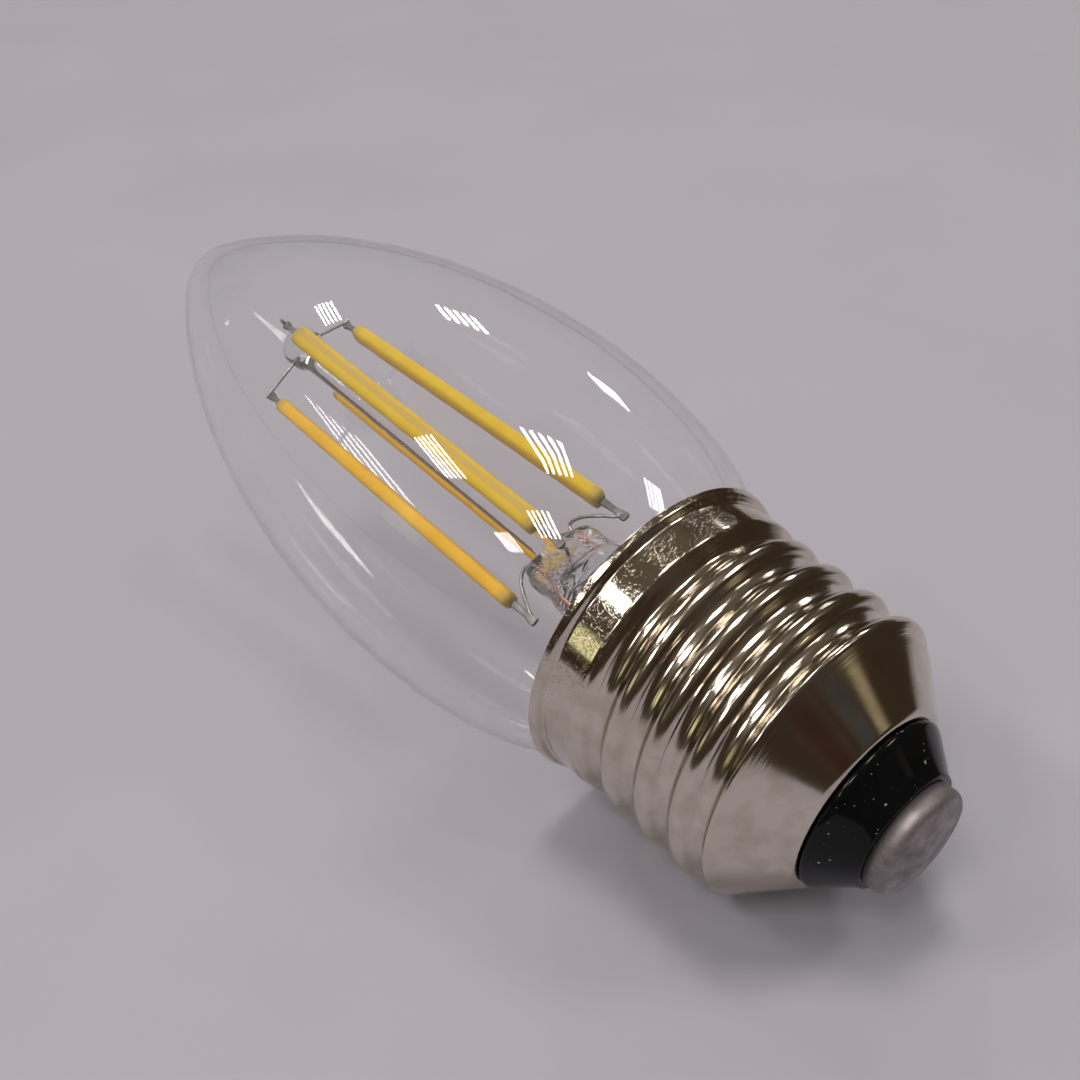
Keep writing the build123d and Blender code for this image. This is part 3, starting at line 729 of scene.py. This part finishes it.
def makeFilament(number, side):
    f = filaments
    low, high, facingTurn = f["places"][side]
    foot, top = Vector((*low, f["foot"])), Vector((*high, f["top"]))
    along = (top - foot).normalized()
    length = (top - foot).length
    facing = Vector((math.cos(math.radians(facingTurn)), math.sin(math.radians(facingTurn)), 0))
    across = along.cross(facing).normalized()
    out = across.cross(along)
    rings, strip, end = [], [], []
    soft, start, stop = f["stripSoft"], phosphor["stripStart"], phosphor["stripEnd"]
    for row in range(f["rows"] + 1):
        share = row / f["rows"]
        crowded = 0.5 - 0.5 * math.cos(math.pi * share)  # rows stand closer at the ends
        z = length * (crowded * f["crowd"] + share * (1 - f["crowd"]))
        edge = min(z, length - z)
        near = min(max(edge / f["rounding"], 0), 1)
        shrink = f["endSize"] + (1 - f["endSize"]) * math.sqrt(1 - (1 - near) ** 2)
        ring = []
        for u, v in roundedRing(f["width"] / 2, f["depth"] / 2, f["square"], f["count"]):
            swell = 1 + f["swell"] * unevenness((u * 0.5, v * 0.5, z), f["swellSize"], number + 6)
            swell += f["lump"] * unevenness((u, v, z), f["lumpSize"], number + 9)
            onEdge = easeStep(start - soft, start + soft, u) * (1 - easeStep(stop - soft, stop + soft, u))
            onEdge *= easeStep(f["depth"] * f["stripSides"][0], f["depth"] * f["stripSides"][1], abs(v))
            size = shrink * swell - f["groove"] * onEdge
            ring.append(foot + along * z + across * (u * size) + out * (v * size))
            strip.append(onEdge)
            end.append(f["endDull"] * (1 - easeStep(*f["endReach"], edge)))
        rings.append(ring)
    rings = [[foot]] + rings + [[top]]
    points, faces = loftFaces(rings)
    finish = phosphorOrange if side in f["orange"] else phosphorYellow
    piece = addPiece(f"filament{side.title()}", points, faces, finish, [f"filament_{side}"])
    layValues(piece, "strip", [0.0] + strip + [0.0])
    layValues(piece, "end", [f["endDull"]] + end + [f["endDull"]])
    wide, thin = (out, -across) if side in tabs["turned"] else (across, out)
    for level, root, run in (("lower", foot, -along), ("upper", top, along)):
        makeTab(f"{level}Tab{side.title()}", f"{level}_tab_{side}", root, run, wide, thin, tabs[level])


def makeTab(name, node, start, run, across, out, reach):
    t = tabs
    rings = []
    for row in range(t["rows"] + 1):
        share = row / t["rows"]
        z = reach * share - t["inset"] * (1 - share)
        past = max(share - t["roundFrom"], 0) / (1 - t["roundFrom"])
        edge = math.sqrt(max(1 - past**2, t["roundLeast"]))
        halfWidth, halfThick = lineAt(t["widths"], share) / 2 * edge, t["thick"] / 2 * edge
        ring = []
        for u, v in roundedRing(halfWidth, halfThick, t["square"], t["count"]):
            dent = sum(math.exp(-((z - reach * d) ** 2 + u * u) / t["dentSize"] ** 2) for d in t["dents"])
            depth = v - (t["dentDepth"] * dent if v > 0 else 0)
            ring.append(start + run * z + across * u + out * depth)
        rings.append(ring)
    if run.z < 0:
        rings.reverse()
    middles = [[sum(ring, Vector()) / len(ring)] for ring in (rings[0], rings[-1])]
    points, faces = loftFaces([middles[0]] + rings + [middles[1]])
    addPiece(name, points, faces, tabMetal, [node])


for number, side in enumerate(filaments["places"]):
    makeFilament(number, side)
print("stem, filaments and tabs made")

# thin bent wires: two leads and a bridge out of the press, two links through the bead
wires = {
    "radius": 0.17, "count": 14, "steps": 9, "kink": 0.03, "kinkSize": 1.1,
    "leadRight": ("lead_wire_right", [
        (2.175, 1.014, 15.0), (2.175, 1.014, 28.0), (2.175, 1.014, 38.0), (2.2, 1.0, 41.2), (2.6, 0.9, 42.6),
        (3.7, 0.66, 42.1), (4.9, 0.5, 40.5), (5.6, 0.62, 39.4), (6.0, 0.74, 39.1)]),
    "leadLeft": ("lead_wire_left", [
        (-2.175, -1.014, 15.0), (-2.175, -1.014, 28.0), (-2.175, -1.014, 38.0), (-2.3, -1.0, 41.2),
        (-2.9, -0.9, 42.3), (-4.1, -0.6, 41.8), (-5.2, -0.25, 40.3), (-5.82, -0.11, 39.1)]),
    "bridge": ("bottom_bridge", [
        (0.7, -4.42, 39.18), (0.6, -3.5, 39.0), (0.75, -2.4, 39.4), (0.4, -1.0, 39.5), (-0.4, 1.0, 39.5),
        (-0.85, 2.3, 39.4), (-0.75, 3.6, 39.0), (-1.0, 4.88, 39.18)]),
    "linkRightFront": ("top_link_right_front", [
        (5.3, 2.15, 81.0), (4.74, 2.0, 81.02), (3.2, 1.1, 81.1), (1.3, 0.1, 81.25), (0.75, -0.5, 81.25),
        (0.7, -1.6, 81.2), (0.75, -3.4, 81.08), (0.73, -4.55, 81.02), (0.8, -5.1, 81.0)]),
    "linkBackLeft": ("top_link_back_left", [
        (-1.24, 5.7, 81.0), (-1.1, 5.15, 81.02), (-0.85, 3.4, 81.08), (-0.6, 1.3, 81.2), (-0.75, 0.5, 81.25),
        (-1.5, 0.25, 81.25), (-3.6, 0.1, 81.12), (-6.0, 0.02, 81.02), (-6.55, 0.0, 81.0)]),
}


def curvePoints(corners, steps):  # smooth run through the corners
    ends = [corners[0]] + corners + [corners[-1]]
    run = []
    for a, b, c, d in zip(ends, ends[1:], ends[2:], ends[3:]):
        a, b, c, d = Vector(a), Vector(b), Vector(c), Vector(d)
        for i in range(steps):
            s = i / steps
            square, cube = 2 * a - 5 * b + 4 * c - d, 3 * b - a - 3 * c + d
            run.append(0.5 * (2 * b + (c - a) * s + square * s**2 + cube * s**3))
    return run + [Vector(corners[-1])]


def bendWire(name, finish):
    node, corners = wires[name]
    run = curvePoints(corners, wires["steps"])
    side = Vector((0.3, 0.5, 0.81))  # a way that no wire starts along
    rings = []
    for i, point in enumerate(run):
        heading = (run[min(i + 1, len(run) - 1)] - run[max(i - 1, 0)]).normalized()
        side = (side - heading * side.dot(heading)).normalized()
        other = heading.cross(side)
        bent = point + (side + other) * wires["kink"] * unevenness(point, wires["kinkSize"], 12)
        ring = []
        for k in range(wires["count"]):
            turn = 2 * math.pi * k / wires["count"]
            ring.append(bent + (side * math.cos(turn) + other * math.sin(turn)) * wires["radius"])
        rings.append(ring)
    points, faces = loftFaces([[run[0]]] + rings + [[run[-1]]])
    addPiece(name, points, faces, finish, [node])


for name in ("leadRight", "leadLeft"):
    bendWire(name, leadMetal)
for name in ("bridge", "linkRightFront", "linkBackLeft"):
    bendWire(name, wireMetal)
print("wires bent")

# room tones: pale for the eye and through glass, fill for soft light, wall and ceiling in mirrors
room = {
    "pale": (0.80, 0.78, 0.80), "fill": (0.24, 0.235, 0.23),
    "wall": (0.044, 0.030, 0.018), "ceiling": (0.12, 0.10, 0.07),
    "wallTop": 0.35, "ceilingStart": 0.85, "cloudScale": 2.6, "cloudLift": 0.25, "deepGlass": 4.5,
}

# stage: table plane under the lying bulb, tube lamps on a ceiling over it
table = {
    "normal": (0.5816, -0.8005, 0.1451), "level": -11.124, "half": 1.6,
    "pale": (0.475, 0.452, 0.505), "deep": (0.45, 0.427, 0.478), "rough": 0.6, "sheen": 0.2, "grain": 0.02,
    "rightEdge": (-110, -70), "sideEnd": (0, 30), "frontEdge": (-330, -250),  # mirrors see it end here
}
tableUp = Vector(table["normal"]).normalized()
alongBulb = (Vector((0, 0, 1)) - tableUp * tableUp.z).normalized()
acrossBulb = tableUp.cross(alongBulb)
tableTurn = Matrix((alongBulb, acrossBulb, tableUp)).transposed().to_4x4()


def makeTable():
    half = table["half"]
    mesh = bpy.data.meshes.new("table")
    corners = [(-half, -half, 0), (half, -half, 0), (half, half, 0), (-half, half, 0)]
    mesh.from_pydata(corners, [], [(0, 1, 2, 3)])
    plane = bpy.data.objects.new("table", mesh)
    scene.collection.objects.link(plane)
    plane.matrix_world = Matrix.Translation(tableUp * table["level"] * mm) @ tableTurn
    material, tree, shader = newMaterial("tableTop")
    grain = noiseNode(tree, placeNode(tree), table["grain"], 3.0)
    colour = rampNode(tree, grain, [(0.3, table["deep"]), (0.7, table["pale"])])
    tree.links.new(colour, shader.inputs["Base Color"])
    shader.inputs["Roughness"].default_value = table["rough"]
    shader.inputs["Specular IOR Level"].default_value = table["sheen"]
    output = next(n for n in tree.nodes if n.type == "OUTPUT_MATERIAL")
    lightPath = tree.nodes.new("ShaderNodeLightPath")
    geometry = tree.nodes.new("ShaderNodeNewGeometry")
    x, y = splitPlace(tree)[:2]
    beside = rangeNode(tree, x, 1.0, 0.0, *table["sideEnd"])
    right = mathNode(tree, "MINIMUM", beside, rangeNode(tree, y, 1.0, 0.0, *table["rightEdge"]))
    past = mathNode(tree, "MAXIMUM", right, rangeNode(tree, x, 1.0, 0.0, *table["frontEdge"]))
    dark = tree.nodes.new("ShaderNodeEmission")
    dark.inputs[0].default_value = (*room["wall"], 1)
    mirrored = mathNode(tree, "MULTIPLY", lightPath.outputs["Is Glossy Ray"], past)  # dark past its edges
    top = blendNode(tree, mirrored, shader.outputs[0], dark.outputs[0])
    clear = tree.nodes.new("ShaderNodeBsdfTransparent")  # from below, the table isn't in the way
    below = mathNode(tree, "MULTIPLY", lightPath.outputs["Is Camera Ray"], geometry.outputs["Backfacing"])
    tree.links.new(blendNode(tree, below, top, clear.outputs[0]), output.inputs[0])
    mesh.materials.append(material)


makeTable()

# tube lamps in groups: length, width, spacing and places are shares of the ceiling height
tubeLamps = {
    "ceiling": 1.2, "turn": -37, "length": 0.28, "width": 0.019, "spacing": 0.043, "count": 5, "glow": 31.0,
    "colour": (1.0, 0.97, 0.93),
    "places": [(0.07, -0.05), (0.47, 0.67), (-0.23, 0.56), (-0.44, -0.72), (-0.1, 1.13), (1.06, -0.82),
               (1.47, -0.02), (0.66, -1.62)],
}


def hangTubes():
    height = tubeLamps["ceiling"]
    turn = math.radians(tubeLamps["turn"])
    run = alongBulb * math.cos(turn) + acrossBulb * math.sin(turn)
    side = tableUp.cross(run)
    facing = Matrix((run, side, tableUp)).transposed().to_4x4()
    length, width = tubeLamps["length"] * height, tubeLamps["width"] * height
    for number, (along, across) in enumerate(tubeLamps["places"]):
        centre = (alongBulb * along + acrossBulb * across + tableUp) * height
        for tube in range(tubeLamps["count"]):
            step = (tube - (tubeLamps["count"] - 1) / 2) * tubeLamps["spacing"] * height
            light = bpy.data.lights.new(f"tube{number}{tube}", "AREA")
            light.shape = "RECTANGLE"
            light.size, light.size_y = length, width
            light.energy = math.pi * length * width * tubeLamps["glow"]
            light.color = tubeLamps["colour"]
            lamp = bpy.data.objects.new(light.name, light)
            scene.collection.objects.link(lamp)
            lamp.matrix_world = Matrix.Translation(centre + side * step) @ facing
            lamp.visible_camera = False


hangTubes()


def makeRoom():  # each kind of ray meets its own tone of the room
    world = bpy.data.worlds.new("room")
    scene.world = world
    world.use_nodes = True
    tree = world.node_tree
    tree.nodes.clear()
    output = tree.nodes.new("ShaderNodeOutputWorld")
    lightPath = tree.nodes.new("ShaderNodeLightPath")
    coordinates = tree.nodes.new("ShaderNodeTexCoord")
    cloud = noiseNode(tree, coordinates.outputs["Generated"], room["cloudScale"], 3.0, 0.6)
    lift = tree.nodes.new("ShaderNodeVectorMath")
    lift.operation = "DOT_PRODUCT"
    lift.inputs[1].default_value = tableUp
    tree.links.new(coordinates.outputs["Generated"], lift.inputs[0])
    drift = rangeNode(tree, cloud, -room["cloudLift"], room["cloudLift"], 0.3, 0.7)
    rise = mathNode(tree, "ADD", drift, lift.outputs["Value"])
    stops = [(room["wallTop"], room["wall"]), (room["ceilingStart"], room["ceiling"])]
    mirrored = rampNode(tree, rise, stops)

    def glow(colour):
        background = tree.nodes.new("ShaderNodeBackground")
        if isinstance(colour, tuple):
            background.inputs[0].default_value = (*colour, 1)
        else:
            tree.links.new(colour, background.inputs[0])
        return background.outputs[0]

    deep = mathNode(tree, "GREATER_THAN", lightPath.outputs["Transmission Depth"], room["deepGlass"])
    behind = blendNode(tree, deep, glow(room["pale"]), glow(mirrored))  # thick glass bends in the dark
    unseen = blendNode(tree, lightPath.outputs["Is Glossy Ray"], glow(room["fill"]), glow(mirrored))
    through = blendNode(tree, lightPath.outputs["Is Transmission Ray"], unseen, behind)
    seen = blendNode(tree, lightPath.outputs["Is Camera Ray"], through, glow(room["pale"]))
    tree.links.new(seen, output.inputs[0])


makeRoom()

# cards only mirrors show: heading round the bulb, rise over the table and spread in degrees, and glow
cards = {
    "distance": 0.7,
    "goldCard": (-144, (5, 21), 6, (0.36, 0.30, 0.185)),
    "greyCard": (-159, (2, 26), 8, (0.042, 0.042, 0.041)),
    "redCard": (179, (0, 30), 10, (0.032, 0.008, 0.005)),
    "sideCard": (62, (13, 28), 6.5, (1.1, 1.08, 0.64)),
}


def standCard(name):
    heading, rise, spread, colour = cards[name]
    points, core = [], []
    for lift, full in ((0, 1), (0.7, 1), (1, 0)):  # soft at the sides and along the top
        for turn, share in ((-1, 0), (-0.35, 1), (0.35, 1), (1, 0)):
            angle = math.radians(heading + turn * spread)
            slope = math.radians(rise[0] + (rise[1] - rise[0]) * lift)
            flat = (alongBulb * math.cos(angle) + acrossBulb * math.sin(angle)) * cards["distance"]
            points.append(flat + tableUp * (table["level"] * mm + cards["distance"] * math.tan(slope)))
            core.append(full * share)
    mesh = bpy.data.meshes.new(name)
    corners = [row + k for row in (0, 4) for k in range(3)]
    mesh.from_pydata(points, [], [(k, k + 1, k + 5, k + 4) for k in corners])
    mesh.attributes.new("core", "FLOAT", "POINT").data.foreach_set("value", core)
    card = bpy.data.objects.new(name, mesh)
    scene.collection.objects.link(card)
    material, tree, shader = newMaterial(name)
    shader.inputs["Base Color"].default_value = (0, 0, 0, 1)
    attribute = tree.nodes.new("ShaderNodeAttribute")
    attribute.attribute_name = "core"
    tone = mixNode(tree, attribute.outputs["Fac"], room["wall"], colour)
    tree.links.new(tone, shader.inputs["Emission Color"])
    shader.inputs["Emission Strength"].default_value = 1.0
    mesh.materials.append(material)
    card.visible_camera = card.visible_diffuse = card.visible_transmission = card.visible_shadow = False


for name in ("goldCard", "greyCard", "redCard", "sideCard"):
    standCard(name)

# camera: place in millimetres, its right and up ways, and the angle of view in degrees
camera = {
    "place": (0, -104.70, -24.41), "angle": 42.40,
    "right": (0.62766, 0.42412, -0.65282), "up": (0.77849, -0.34101, 0.52694),
}


def makeCamera():
    data = bpy.data.cameras.new("photoCamera")
    data.sensor_fit = "HORIZONTAL"
    data.angle = math.radians(camera["angle"])
    data.clip_start, data.clip_end = 0.001, 50
    eye = bpy.data.objects.new("photoCamera", data)
    scene.collection.objects.link(eye)
    right, up = Vector(camera["right"]), Vector(camera["up"])
    turn = Matrix((right, up, right.cross(up))).transposed().to_4x4()
    eye.matrix_world = Matrix.Translation(Vector(camera["place"]) * mm) @ turn
    scene.camera = eye


makeCamera()
print("stage, lamps and camera set")
